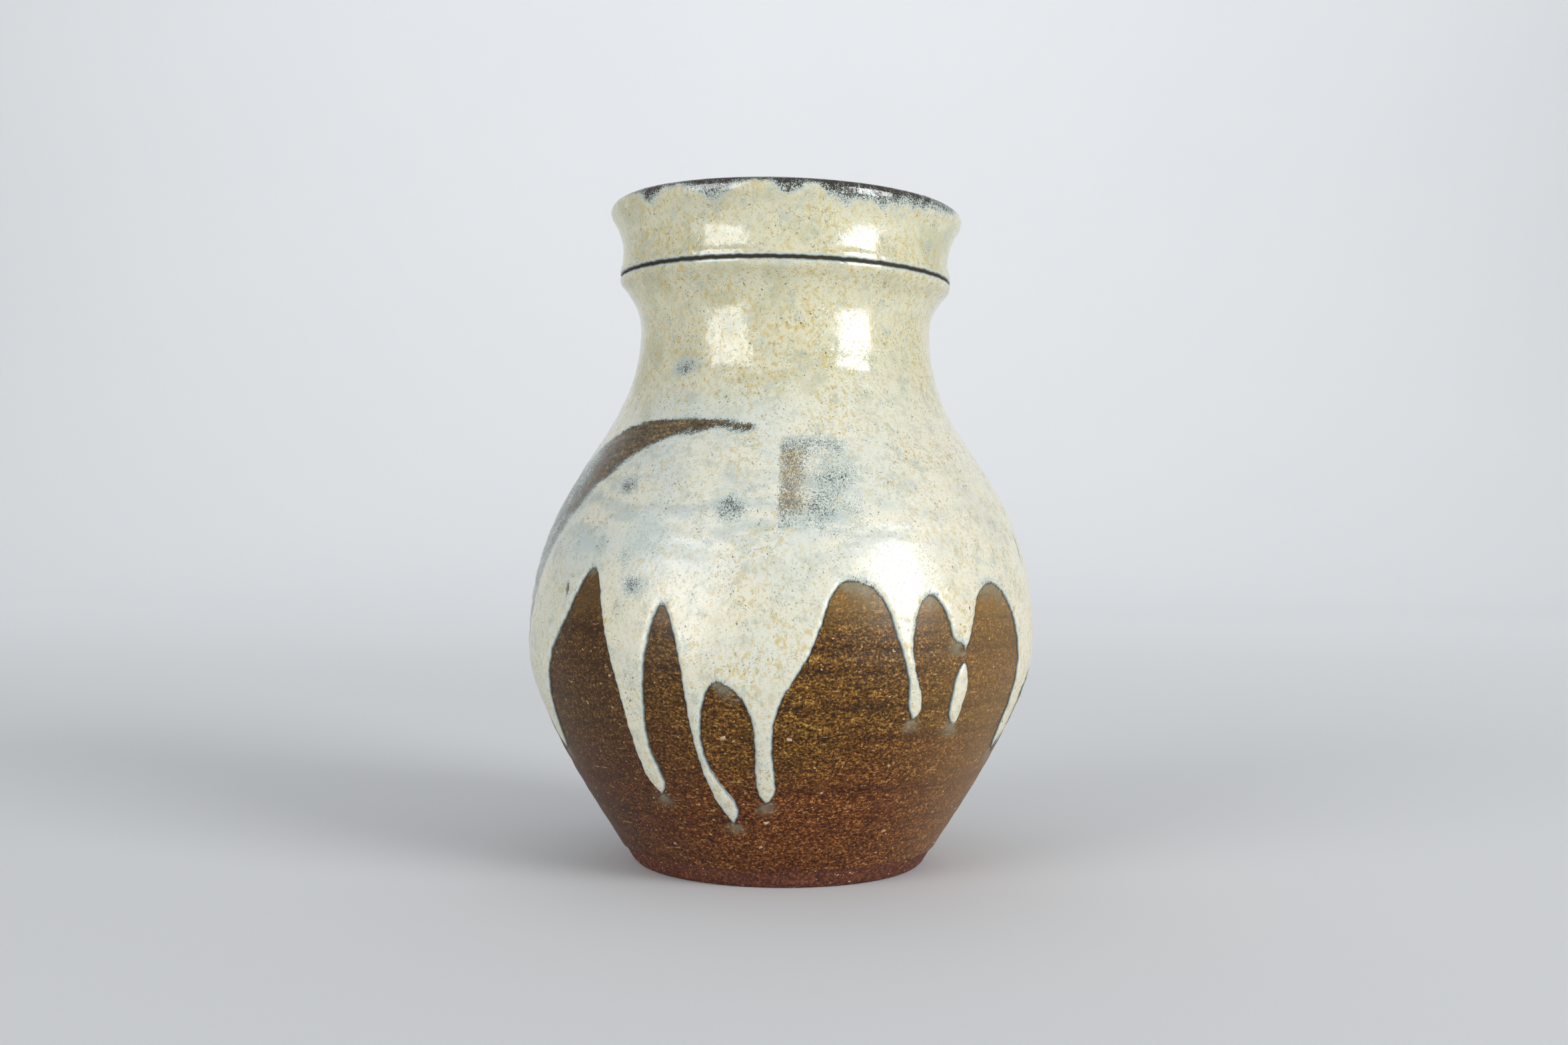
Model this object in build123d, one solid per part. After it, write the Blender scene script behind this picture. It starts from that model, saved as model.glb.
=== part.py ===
"""Wheel-thrown stoneware vase: a clay body, an iron glaze on it, and a cream glaze poured over that.

Millimetres. +Z is up and the origin is the centre of the foot, in the plane that the vase stands on.
The front faces -Y. Angles are degrees round the vase from the front, positive towards +X.
A rise is a height measured from the widest ring of the belly, negative below it.
"""

import os
from math import cos, radians, sin

from build123d import *

# The clay's outline, from the foot up: a radius at each level, and the height from each level to the next.
FOOT_RADIUS = 36.2
BELLY_RADIUS = 61.2
SHOULDER_RADIUS = 46.2
NECK_RADIUS = 35.0
LEDGE_RADIUS = 40.5
RIM_RADIUS = 42.8
FOOT_TO_BELLY = 53.5
BELLY_TO_SHOULDER = 45.3
SHOULDER_TO_NECK = 30.7
NECK_TO_LEDGE = 12.5
LEDGE_TO_LIP = 15.4

# How far the wall leans from upright, in degrees.
FOOT_LEAN = 31.0
SHOULDER_LEAN = 32.5
LEDGE_LEAN = 30.0

# How far the handles of each rising curve reach, as shares of its height: at its start, and at its end.
LOWER_PULL = (0.42, 0.29)
UPPER_PULL = (0.54, 0.25)
FLANK_PULL = (0.22, 0.51)
FLARE_PULL = (0.53, 0.26)
THROAT_PULL = (0.45, 0.45)
# The collar draws in by its waist above the ledge, and a little less higher up.
COLLAR_WAIST = 1.9
COLLAR_EASE = 0.4

# The clay's thickness, and the turned foot.
WALL = 5.6
LIP_THICKNESS = 4.6
FLOOR = 8.0
FLOOR_CORNER = 14.0
FOOT_BEVEL = 1.0
FOOT_RING_WIDTH = 7.0
FOOT_RECESS = 1.8
FOOT_RECESS_TAPER = 30

# The glazes.
IRON_COAT = 0.4
CREAM_COAT = 0.5
LINER_COAT = 0.4
BARE_FOOT_STRIP = 4.5
LEDGE_LINE_ABOVE = 0.9
LEDGE_LINE_BELOW = 0.3
BARE_LIP_STRIP = 0.4
RUN_TIP_RADIUS = 1.4
RUN_TIP_LAP = 0.35

# Pale chips of grog in the clay, which come through the iron glaze: (angle, rise, twist).
GROG_WIDTH = 2.4
GROG_HEIGHT = 1.5
GROG_DEPTH = 1.6
GROG_PROUD = 0.1
GROG_PLACES = [
    (-12, -18, 20), (2.5, -18, -35), (33, -41, 10), (-3, -38, 55), (76, -30, -15), (128, -43, 30),
    (-150, -40, -50), (-97, -43, 5),
]

BELLY_HEIGHT = FOOT_BEVEL + FOOT_TO_BELLY
SHOULDER_HEIGHT = BELLY_HEIGHT + BELLY_TO_SHOULDER
NECK_HEIGHT = SHOULDER_HEIGHT + SHOULDER_TO_NECK
LEDGE_HEIGHT = NECK_HEIGHT + NECK_TO_LEDGE
LIP_HEIGHT = LEDGE_HEIGHT + LEDGE_TO_LIP
OUTSIDE_ALL = 2 * BELLY_RADIUS

# Where each run of cream glaze ends, round the vase: (angle, rise). The windows between them follow.
RUN_TIPS = [
    (-68, -25), (-31, -32), (-12, -38), (-3, -33), (30, -14), (41, 0), (67, -24), (88, -34), (107, -18),
    (126, -37), (147, -27), (166, -38), (185, -30), (208, -14), (224, -35), (245, -28), (267, -37),
]

# The bare iron glaze between one run and the next, over its top: (angle, rise) from the left tip to the right.
WINDOWS = [
    [(-64.5, -17), (-57, 0), (-51, 8.5), (-44.5, 18), (-40, 7.5), (-35.5, -8), (-34.5, -24)],
    [(-30, -24), (-29.5, -11), (-27.5, 4), (-25, 10.5), (-22, 4.5), (-19.5, -11), (-17, -29)],
    [(-14, -28), (-16, -11), (-13, -5.5), (-8.5, -8), (-5.6, -14), (-5.3, -25)],
    [(-0.8, -26), (0.3, -9.5), (5, -1), (8.5, 8), (13, 16), (19, 14.5), (24, 5), (27.8, -8)],
    [(30.3, -7), (28, 5), (32, 13), (36.5, 8), (39, 3)],
    [(43.5, 6), (46.5, 13.5), (50.5, 15.5), (57, 12), (62.5, 2.5), (64, -12)],
    [(69.5, -24.5), (71, -14), (76, -6), (81, -9), (84, -17), (86, -30)],
    [(90.5, -26), (91.5, -8), (96, 7), (102, 3), (105, -10)],
    [(109.5, -9), (111, 2), (116, 17), (122, 8), (123.5, -16)],
    [(128.5, -27), (129, -9), (134, -2), (141, 3), (144.5, -14)],
    [(149.5, -19), (150.5, -1), (156, 13), (161, 9), (163.5, -16)],
    [(168.5, -28), (170, -10), (175, 4), (180, 1), (182.5, -18)],
    [(187.5, -20), (188.5, 1), (196, 17), (203, 13), (206, -5)],
    [(210.5, -5), (212, 4), (216, 9), (220, 3), (221.5, -18)],
    [(226.5, -24), (228, -6), (233, 2), (240, -3), (242.5, -17)],
    [(247.5, -18), (250, 1), (256, 14), (262, 9), (264.5, -17)],
    [(269.5, -31), (272, -19), (278, -9), (284, -10), (288.5, -19)],
]

# A run that has parted from the cream above it, as a closed outline of (angle, rise).
DETACHED_RUN = [(40.9, -1.7), (39.4, -4.2), (39.1, -10), (40.3, -14.5), (42, -15.5), (43.3, -11), (42.9, -4.2)]

# Thick dark patches of the lip's glaze that hang over the collar: (angle, width round the rim, drop).
LIP_PATCHES = [(-47, 5, 2.8), (-23, 9, 3.0), (1, 6, 2.4), (26, 22, 2.9), (96, 7, 3.0), (150, 9, 2.6), (215, 6, 3.2)]


def handle(point, lean, length):
    """The point that lies a length up from another, leaning outward from upright by an angle."""
    return (point[0] + length * sin(radians(lean)), point[1] + length * cos(radians(lean)))


def rising(start, end, leans, pulls):
    """A curve from one point up to another, with its lean and the share that its handle reaches at each end."""
    rise = end[1] - start[1]
    return Bezier(start, handle(start, leans[0], pulls[0] * rise), handle(end, leans[1], -pulls[1] * rise), end)


def share_at(curve, height):
    """How far along a rising curve it reaches a height, from 0 to 1."""
    low = 0.0
    high = 1.0
    for _ in range(30):
        middle = (low + high) / 2
        if (curve @ middle).Y < height:
            low = middle
        else:
            high = middle
    return low


def outline(shift):
    """The clay's outside from the foot's bevel to the lip as curves, moved out by shift."""
    foot = (FOOT_RADIUS + shift, FOOT_BEVEL)
    belly = (BELLY_RADIUS + shift, BELLY_HEIGHT)
    shoulder = (SHOULDER_RADIUS + shift, SHOULDER_HEIGHT)
    neck = (NECK_RADIUS + shift, NECK_HEIGHT)
    ledge = (LEDGE_RADIUS + shift, LEDGE_HEIGHT)
    lip = (RIM_RADIUS + shift, LIP_HEIGHT)
    waist = LEDGE_RADIUS + shift - COLLAR_WAIST
    lower = rising(foot, belly, (FOOT_LEAN, 0), LOWER_PULL)
    upper = rising(belly, shoulder, (0, -SHOULDER_LEAN), UPPER_PULL)
    flank = rising(shoulder, neck, (-SHOULDER_LEAN, 0), FLANK_PULL)
    flare = rising(neck, ledge, (0, LEDGE_LEAN), FLARE_PULL)
    collar = Bezier(
        ledge,
        (waist, LEDGE_HEIGHT + LEDGE_TO_LIP / 3),
        (waist + COLLAR_EASE, LIP_HEIGHT - LEDGE_TO_LIP / 3),
        lip,
    )
    return [lower, upper, flank, flare, collar]


def turned(edges):
    """A closed outline in radius and height, turned round the axis into a solid."""
    section = Plane.XZ * make_face(Wire(edges))
    return revolve(section, Axis.Z).solid()


def above(solid, height):
    """The part of a solid above a level."""
    return split(solid, bisect_by=Plane.XY.offset(height), keep=Keep.TOP)


def below(solid, height):
    """The part of a solid below a level."""
    return split(solid, bisect_by=Plane.XY.offset(height), keep=Keep.BOTTOM)


def coat(inner, outer):
    """A skin round the outside, between two distances from the clay."""
    inside = outline(inner)
    outside = outline(outer)
    foot = Line(inside[0] @ 0, outside[0] @ 0)
    lip = Line(inside[-1] @ 1, outside[-1] @ 1)
    return turned([*inside, *outside, foot, lip])


def hollow(skin):
    """The space inside the clay up to the lip, less a skin on its wall and floor."""
    lower, upper, flank = outline(-WALL - skin)[:3]
    neck = (NECK_RADIUS - WALL - skin, NECK_HEIGHT)
    lip = (RIM_RADIUS - LIP_THICKNESS - skin, LIP_HEIGHT)
    throat = rising(neck, lip, (0, 0), THROAT_PULL)
    floor = FLOOR + skin
    wall = lower.trim(share_at(lower, floor + FLOOR_CORNER), 1)
    lean = wall % 0
    knee = (wall @ 0) - lean * (FLOOR_CORNER / lean.Y)
    edge = (knee.X - FLOOR_CORNER, floor)
    corner = Bezier(edge, (knee.X, floor), wall @ 0)
    rest = Polyline(lip, (0, LIP_HEIGHT), (0, floor), edge)
    return turned([corner, wall, upper, flank, throat, *rest.edges()])


def lip_ring(skin):
    """The half-round lip above the top of the wall, with a skin over it."""
    middle = RIM_RADIUS - LIP_THICKNESS / 2
    half = LIP_THICKNESS / 2 + skin
    crown = ThreePointArc(
        (middle + half, LIP_HEIGHT), (middle, LIP_HEIGHT + half), (middle - half, LIP_HEIGHT)
    )
    return turned([crown, Line(crown @ 1, crown @ 0)])


def wall_radius(height):
    """The clay's outside radius at a height."""
    curve = next(c for c in outline(0) if height <= (c @ 1).Y)
    return (curve @ share_at(curve, height)).X


def facing(angle):
    """The upright plane through the axis that faces out at an angle: across it is x, and up is y."""
    turn = radians(angle)
    return Plane(origin=(0, 0, 0), x_dir=(cos(turn), sin(turn), 0), z_dir=(sin(turn), -cos(turn), 0))


def on_plane(place, angle):
    """Where a place (angle, rise) on the wall is seen on the plane that faces an angle."""
    height = BELLY_HEIGHT + place[1]
    return (wall_radius(height) * sin(radians(place[0] - angle)), height)


def pushed_out(face, angle):
    """A flat outline on the plane facing an angle, pushed out through the wall."""
    return extrude(facing(angle) * face, OUTSIDE_ALL)


def window(left_tip, right_tip, places):
    """A cutter for one bare window, from the middle of the run on its left to that on its right."""
    angle = (left_tip[0] + right_tip[0]) / 2
    left = Vector(*on_plane(left_tip, angle))
    right = Vector(*on_plane(right_tip, angle))
    lap = Vector(RUN_TIP_LAP, 0)
    side = Vector(RUN_TIP_RADIUS, 0)
    up = Vector(0, 2 * RUN_TIP_RADIUS)
    over = [on_plane(place, angle) for place in places]
    top = Spline(left - lap, left + side + up, *over, right - side + up, right + lap)
    rest = Polyline(top @ 1, ((top @ 1).X, 0), ((top @ 0).X, 0), top @ 0)
    return pushed_out(make_face(Wire([top, *rest.edges()])), angle)


def windows():
    """The cutters for all the bare windows round the vase."""
    first = RUN_TIPS[0]
    ends = [*RUN_TIPS[1:], (first[0] + 360, first[1])]
    return [window(a, b, places) for a, b, places in zip(RUN_TIPS, ends, WINDOWS)]


def chips():
    """The grog that shows, as separate angular chips sunk in the wall with their faces along it."""
    found = []
    for angle, rise, twist in GROG_PLACES:
        height = BELLY_HEIGHT + rise
        reach = wall_radius(height) + IRON_COAT + GROG_PROUD
        slope = wall_radius(height + 0.5) - wall_radius(height - 0.5)
        turn = radians(angle)
        outward = (sin(turn), -cos(turn), -slope)
        face = Plane(origin=(reach * sin(turn), -reach * cos(turn), height), z_dir=outward)
        chip = Box(GROG_WIDTH, GROG_HEIGHT, GROG_DEPTH, align=(Align.CENTER, Align.CENTER, Align.MAX))
        found.append(face * Rot(0, 0, twist) * chip)
    return found


def clay_body():
    """Floor, wall, collar, lip and foot ring, thrown as one piece of clay."""
    curves = outline(0)
    bevel = (FOOT_RADIUS - FOOT_BEVEL, 0)
    foot = Polyline((0, 0), bevel, curves[0] @ 0)
    top = Polyline(curves[-1] @ 1, (0, LIP_HEIGHT), (0, 0))
    block = turned([*foot.edges(), *curves, *top.edges()])
    recess = extrude(Circle(FOOT_RADIUS - FOOT_BEVEL - FOOT_RING_WIDTH), FOOT_RECESS, taper=FOOT_RECESS_TAPER)
    return block - hollow(0) - recess + lip_ring(0) - chips()


def iron_glaze():
    """The brown coat over the outside, from just above the foot to the lip."""
    return above(coat(0, IRON_COAT), BARE_FOOT_STRIP) - chips()


def liner_glaze():
    """The dark coat over the lip, down the inside and across the floor."""
    return (hollow(0) - hollow(LINER_COAT)) + (lip_ring(LINER_COAT) - lip_ring(0))


def cream_coat():
    """The whole skin that the cream glaze is taken from."""
    return coat(IRON_COAT, IRON_COAT + CREAM_COAT)


def cream_glaze_body():
    """The cream coat from the ledge down to its runs."""
    lowest = BELLY_HEIGHT + min(rise for _, rise in RUN_TIPS) - RUN_TIP_RADIUS
    skin = below(above(cream_coat(), lowest), LEDGE_HEIGHT - LEDGE_LINE_BELOW)
    for cutter in windows():
        skin = skin - cutter
    return skin


def cream_glaze_collar():
    """The cream coat on the collar, with the lip's dark patches cut out of its top edge."""
    top = LIP_HEIGHT - BARE_LIP_STRIP
    skin = below(above(cream_coat(), LEDGE_HEIGHT + LEDGE_LINE_ABOVE), top)
    patches = []
    for angle, width, drop in LIP_PATCHES:
        patch = Pos(0, top) * Ellipse(width / 2, drop)
        patches.append(pushed_out(patch, angle))
    return skin - patches


def cream_glaze_detached_run():
    """The lower end of a run that has parted from the coat above."""
    angle = DETACHED_RUN[0][0]
    side = Spline(*[on_plane(p, angle) for p in DETACHED_RUN], periodic=True)
    return cream_coat() & pushed_out(make_face(side), angle)


NODES = {
    "clay_body": clay_body(),
    "iron_glaze": iron_glaze(),
    "liner_glaze": liner_glaze(),
    "cream_glaze_body": cream_glaze_body(),
    "cream_glaze_collar": cream_glaze_collar(),
    "cream_glaze_detached_run": cream_glaze_detached_run(),
    "grog_chips": Compound(children=chips()),
}

os.makedirs("parts", exist_ok=True)
for name, shape in NODES.items():
    export_step(shape, f"parts/{name}.step")
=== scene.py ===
"""Wheel-thrown stoneware vase: iron glaze, liner glaze and poured cream glaze on a clay body.

Every piece is built on one master profile: the clay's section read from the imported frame, from the foot's
bevel up the outside, over the lip and down the inside to the middle of the floor. A place on the vase is a
turn (radians round from the front, positive towards +X), a run along that profile in mm, and a lift off the
clay in mm. Lengths are mm until `placed` turns them into metres.
"""

import math

import bpy
import numpy as np
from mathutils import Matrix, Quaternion, Vector, kdtree
from mathutils.geometry import delaunay_2d_cdt


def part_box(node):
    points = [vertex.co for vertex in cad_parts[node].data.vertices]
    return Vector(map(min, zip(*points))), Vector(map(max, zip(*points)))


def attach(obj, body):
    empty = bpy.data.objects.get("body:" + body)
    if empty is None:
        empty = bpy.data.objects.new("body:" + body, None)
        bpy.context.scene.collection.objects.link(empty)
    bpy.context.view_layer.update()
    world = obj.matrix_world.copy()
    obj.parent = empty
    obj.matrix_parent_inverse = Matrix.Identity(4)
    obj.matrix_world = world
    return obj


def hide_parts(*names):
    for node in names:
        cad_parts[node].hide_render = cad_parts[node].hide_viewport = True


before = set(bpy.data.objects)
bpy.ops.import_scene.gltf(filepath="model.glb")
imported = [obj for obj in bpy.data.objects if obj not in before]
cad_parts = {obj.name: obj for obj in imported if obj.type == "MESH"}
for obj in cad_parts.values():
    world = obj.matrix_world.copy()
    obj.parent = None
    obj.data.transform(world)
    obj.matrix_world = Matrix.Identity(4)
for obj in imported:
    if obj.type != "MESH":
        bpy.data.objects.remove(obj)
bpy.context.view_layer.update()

MM = 0.001
SEED = 11
COLUMNS = 384

# Glaze thicknesses off the clay.
IRON = 0.4
CREAM = 0.5
SUNK = 0.15
# Point spacing of the cream glaze's outer skin and of its hidden underside.
SKIN_STEP = 1.25
BACK_STEP = 6.0
# The cream glaze's middling radius where its border is joined up at the back.
SEAM_RADIUS = 45.0
# How far the coats' hidden undersides, and the clay's face under them, lie off the clay's true face.
COAT_BACK = -0.02
CLAY_UNDER = -0.04
# The radius by which the random waves' lengths are turned into waves round the vase.
WAVE_RADIUS = 50
# Grog chips in all, and the height that they stay under.
CHIPS = 210
CHIPS_BELOW = 66.0

# The handmade unevenness: sideways sway of the axis by height, ovalness, and the rim's tilt.
SWAY = [(0, -0.2), (25, -0.5), (55, -0.3), (80, 0.1), (110, 0.0), (161, 0.0)]
OVAL = 0.25
BELLY_RADIUS = 60.0
RIM_TILT = 0.9
RIM_RADIUS = 43.0
TILT_START = 118.0

# Throwing marks: a shallow spiral all the way up, and single grooves as (height, depth, width).
RIDGE_PITCH = 5.2
RIDGE_DEPTH = 0.04
GROOVES = [(81.5, 0.10, 0.7), (67.5, 0.10, 0.6), (63, 0.16, 0.5), (59.5, 0.12, 0.7), (56.5, 0.10, 0.6),
           (52, 0.12, 0.4), (44, 0.07, 0.6), (37.5, 0.08, 0.5), (25, 0.10, 0.4), (17, 0.08, 0.5)]

# The bare band on the left shoulder, where the pour missed: (degrees, height) on its two curved edges.
BAND_TOP = [(-92, 90), (-60, 104), (-33, 106.5), (-9, 105)]
BAND_BOTTOM = [(-92, 44), (-78, 52), (-66, 78), (-45, 98), (-30, 103), (-9, 102)]
# The cream glaze runs thin from the lip down by LIP_REACH mm, and farther at (degrees, half width, mm more).
LIP_REACH = 0.9
LIP_THIN = [(-145, 5, 2.4), (-47, 4, 2.5), (-23, 7, 2.5), (1, 4, 2.0), (18, 6, 3.3),
            (33, 7, 3.0), (49, 9, 1.8), (63, 6, 0.9), (96, 5, 2.3), (150, 6, 2.1)]
# The thin, speckled patch in the middle of the shoulder.
PATCH_LEFT, PATCH_RIGHT = -1.5, 26.0
PATCH_TOP, PATCH_BOTTOM = 102.5, 81.0
# Smudges where the glaze is thin: (degrees, height, half width in mm, half height in mm, strength). The ones
# at (-43, 88) and (-32, 80) are painted shade on the left of the belly, where less light falls.
SMUDGES_AND_SHADE = [(-12, 86, 4.4, 4.2, 0.72), (-42, 91, 4.4, 3.0, 0.64), (-32, 69, 4.2, 2.8, 0.74),
           (-36, 75, 2.2, 3.4, 0.55), (-38, 119, 4.4, 2.6, 0.76), (43, 122, 2.8, 3.2, 0.30),
           (-29, 111, 3.0, 2.0, 0.22), (10, 81, 9.0, 1.8, 0.42), (-58, 86, 7.0, 5.0, 0.30),
           (-43, 88, 9.0, 6.0, 0.26), (-12, 84, 7.0, 4.0, 0.34), (-32, 80, 12.0, 6.0, 0.34),
           (-33, 108, 12.0, 2.0, 0.20), (-53, 68, 0.45, 4.2, 1.10), (73, 78, 0.5, 5.5, 1.10),
           (-8, 82, 16.0, 1.2, 0.30), (100, 92, 9.0, 5.0, 0.45), (163, 104, 14.0, 2.6, 0.85),
           (205, 88, 6.0, 5.0, 0.50)]


# ---- the frame's meshes ----

def arrays(node):
    """A CAD node's points in mm, its triangles, and its triangles' normals."""
    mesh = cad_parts[node].data
    points = np.empty(len(mesh.vertices) * 3)
    mesh.vertices.foreach_get("co", points)
    points = points.reshape(-1, 3) / MM
    corners = np.array([tuple(p.vertices) for p in mesh.polygons])
    a, b, c = (points[corners[:, k]] for k in range(3))
    normals = np.cross(b - a, c - a)
    normals /= np.maximum(np.linalg.norm(normals, axis=1), 1e-12)[:, None]
    return points, corners, normals


def welded(points):
    """For each point, the number of the first point at the same place."""
    _, first, back = np.unique(np.round(points, 3), axis=0, return_index=True, return_inverse=True)
    return first[back.ravel()]


def chained(pairs):
    """Edges joined end to end into chains of point numbers. A closed chain repeats its first number."""
    joined = {}
    for a, b in pairs:
        joined.setdefault(a, set()).add(b)
        joined.setdefault(b, set()).add(a)
    chains = []
    while joined:
        ends = [k for k, v in joined.items() if len(v) == 1]
        chain = [min(ends) if ends else min(joined)]
        while chain[-1] in joined and joined[chain[-1]]:
            here = chain[-1]
            there = min(joined[here])
            joined[here].discard(there)
            joined[there].discard(here)
            chain.append(there)
        joined = {k: v for k, v in joined.items() if v}
        chains.append(chain)
    return chains


def seam(node):
    """A turned node's section in the half plane y = 0, x > 0, as (radius, height) rows."""
    points, corners, _ = arrays(node)
    same = welded(points)
    near = (np.abs(points[:, 1]) < 0.003) & (points[:, 0] > 1)
    edges = set()
    for triangle in corners:
        for a, b in ((0, 1), (1, 2), (2, 0)):
            p, q = triangle[a], triangle[b]
            if near[p] and near[q] and same[p] != same[q]:
                edges.add(tuple(sorted((same[p], same[q]))))
    chain = max(chained(edges), key=len)
    return points[chain][:, [0, 2]]


# ---- the master profile ----

def eased(places, values, at):
    """A smooth curve through (place, value) points, as cubic spans with slopes from their neighbours."""
    slopes = np.gradient(values, places, edge_order=2 if len(places) > 2 else 1)
    i = np.clip(np.searchsorted(places, at) - 1, 0, len(places) - 2)
    step = places[i + 1] - places[i]
    t = np.clip((at - places[i]) / step, 0, 1)
    start = (1 + 2 * t) * (1 - t) ** 2 * values[i] + t * (1 - t) ** 2 * step * slopes[i]
    end = t * t * (3 - 2 * t) * values[i + 1] + t * t * (t - 1) * step * slopes[i + 1]
    return start + end


def lengths_along(rows):
    """The distance along a chain of rows at each row."""
    return np.concatenate([[0], np.cumsum(np.linalg.norm(np.diff(rows, axis=0), axis=1))])


def smooth_rows(rows, step):
    """Rows of a gentle chain replaced by evenly spaced ones on a smooth curve through them."""
    along = lengths_along(rows)
    keep = np.concatenate([[True], np.diff(along) > 0.02])
    rows, along = rows[keep], along[keep]
    at = np.linspace(0, along[-1], max(2, int(along[-1] / step)))
    return np.stack([eased(along, rows[:, 0], at), eased(along, rows[:, 1], at)], axis=1)


def clay_section():
    """The clay's section in two chains: the profile, and the foot's underside from the bevel to the axis."""
    rows = seam("clay_body")
    if rows[0][1] < rows[-1][1]:
        rows = rows[::-1]
    rows = np.vstack([[0, rows[0][1]], rows, [0, rows[-1][1]]])
    outside = np.argmax(rows[:, 1])
    bevel = outside + np.argmin(np.abs(rows[outside:, 1] - 1.0))
    return rows[:bevel + 1][::-1], rows[bevel:]


def master_profile():
    """Evenly spaced rows of the profile, smooth between its corners, with the corners softened."""
    rows, _ = clay_section()
    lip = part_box("iron_glaze")[1].z / MM
    top = np.argmin(np.abs(rows[:, 1] - lip) + (rows[:, 0] < 42))
    high = (rows[:, 1] > lip - 25) & (rows[:, 1] < lip - 6)
    ledge = np.flatnonzero(high)[np.argmax(rows[high][:, 0])]
    inner = top + 1 + np.argmin(np.abs(rows[top + 1:, 1] - lip))
    breaks = [0, ledge, top, inner, len(rows) - 2, len(rows) - 1]
    spans = [smooth_rows(rows[a:b + 1], 0.1)[:-1] for a, b in zip(breaks, breaks[1:])]
    fine = np.vstack([*spans, rows[-1:]])
    reach = np.arange(-18, 19)
    weights = np.exp(-0.5 * (reach / 5.5) ** 2)
    weights /= weights.sum()
    padded = np.pad(fine, ((18, 18), (0, 0)), mode="edge")
    soft = np.stack([np.convolve(padded[:, k], weights, mode="valid") for k in range(2)], axis=1)
    soft[:18], soft[-18:] = fine[:18], fine[-18:]
    return soft, lip


PROFILE, LIP = master_profile()
RUN = lengths_along(PROFILE)
ALONG = np.gradient(PROFILE, RUN, axis=0)
ALONG /= np.linalg.norm(ALONG, axis=1)[:, None]
CREST = int(np.argmax(PROFILE[:, 1]))
# A conformal height: a step of it, times the radius, is a step along the run.
SPREAD = np.concatenate([[0], np.cumsum(np.diff(RUN) / (np.maximum(PROFILE[1:, 0], 1) + IRON))])


def run_at(height):
    """The run at a height on the outside."""
    return np.interp(height, PROFILE[:CREST + 1, 1], RUN[:CREST + 1])


def radius_at(run):
    """The radius in mm at a run."""
    return np.interp(run, RUN, PROFILE[:, 0])


def height_at(run):
    """The height in mm at a run."""
    return np.interp(run, RUN, PROFILE[:, 1])


LIP_RUN = run_at(LIP)
# The collar's cream glaze goes up the lip to just short of its crest, fading into the dark coat.
CREAM_TOP = RUN[CREST] - 1.1
IRON_FOOT = run_at(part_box("iron_glaze")[0].z / MM)


# ---- the surface ----

def ease(x):
    """0 to 1 smoothly as x goes from 0 to 1."""
    x = np.clip(x, 0, 1)
    return x * x * (3 - 2 * x)


def wander(turn, along, sizes, seed):
    """A slow random wave over the vase, about -1 to 1, with the wavelengths given in mm."""
    chance = np.random.default_rng(seed)
    total = 0
    for size in sizes:
        way = chance.uniform(0, 2 * math.pi)
        around = round(2 * math.pi * WAVE_RADIUS / size * math.cos(way))
        up = 2 * math.pi / size * math.sin(way)
        total = total + np.sin(around * turn + up * along + chance.uniform(0, 2 * math.pi))
    return total / math.sqrt(len(sizes))


def groove_level(turn, height):
    """The height by which the grooves go, which lie a little out of level."""
    return height + 0.5 * np.sin(turn + 0.6)


def relief(turn, height):
    """How far the throwing marks stand off the smooth wall."""
    marks = RIDGE_DEPTH * np.sin(2 * math.pi * height / RIDGE_PITCH + turn)
    marks = marks * (1 + 0.6 * wander(turn, height, (60, 45, 33), SEED))
    level = groove_level(turn, height)
    for place, depth, width in GROOVES:
        groove = depth * np.exp(-((level - place) / width) ** 2)
        marks = marks - groove * (0.75 + 0.25 * np.sin(3 * turn + place))
    marks = marks + 0.08 * wander(turn, height, (48, 36, 27), SEED + 1)
    return marks * ease((height - 5) / 5) * ease((LIP - 2 - height) / 8)


def placed(radius, turn, height):
    """Points in metres from radius, turn and height in mm, with the vase's handmade unevenness."""
    places, sideways = np.array(SWAY, float).T
    shift = eased(places, sideways, np.clip(height, places[0], places[-1]))
    radius = radius - OVAL * np.cos(2 * turn + 0.7) * radius / BELLY_RADIUS * ease(height / 40)
    x = radius * np.sin(turn)
    lean = RIM_TILT * ease((height - TILT_START) / (LIP - TILT_START))
    return np.stack([x + shift, -radius * np.cos(turn), height - lean * x / RIM_RADIUS], axis=-1) * MM


def surface(turn, run, lift):
    """Points at a lift off the clay, square to it."""
    turn, run, lift = np.broadcast_arrays(turn, run, lift)
    outside = run < RUN[CREST]
    height = height_at(run)
    off = lift + np.where(outside, relief(turn, height), 0)
    across = np.interp(run, RUN, ALONG[:, 1])
    down = -np.interp(run, RUN, ALONG[:, 0])
    return placed(radius_at(run) + off * across, turn, height + off * down)


# ---- meshes ----

def mesh_piece(name, points, faces, values=None, sharp=50):
    """A smooth-shaded closed mesh piece, with named numbers at its points."""
    mesh = bpy.data.meshes.new(name)
    mesh.from_pydata(points.tolist(), [], faces)
    mesh.validate()
    mesh.polygons.foreach_set("use_smooth", [True] * len(mesh.polygons))
    mesh.set_sharp_from_angle(angle=math.radians(sharp))
    for key, numbers in (values or {}).items():
        layer = mesh.attributes.new(key, "FLOAT", "POINT")
        layer.data.foreach_set("value", np.asarray(numbers, np.float32))
    piece = bpy.data.objects.new(name, mesh)
    bpy.context.scene.collection.objects.link(piece)
    return piece


def ring_faces(rows, columns, closed):
    """Quads between rings of points, with the last ring joined to the first if closed."""
    faces = []
    for i in range(rows if closed else rows - 1):
        low, high = i * columns, (i + 1) % rows * columns
        for j in range(columns):
            k = (j + 1) % columns
            faces.append((low + j, low + k, high + k, high + j))
    return faces


def cap_faces(first, columns, pole, flip):
    """Triangles from a ring to a single point."""
    faces = [(first + j, first + (j + 1) % columns, pole) for j in range(columns)]
    return [face[::-1] for face in faces] if flip else faces


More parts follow.
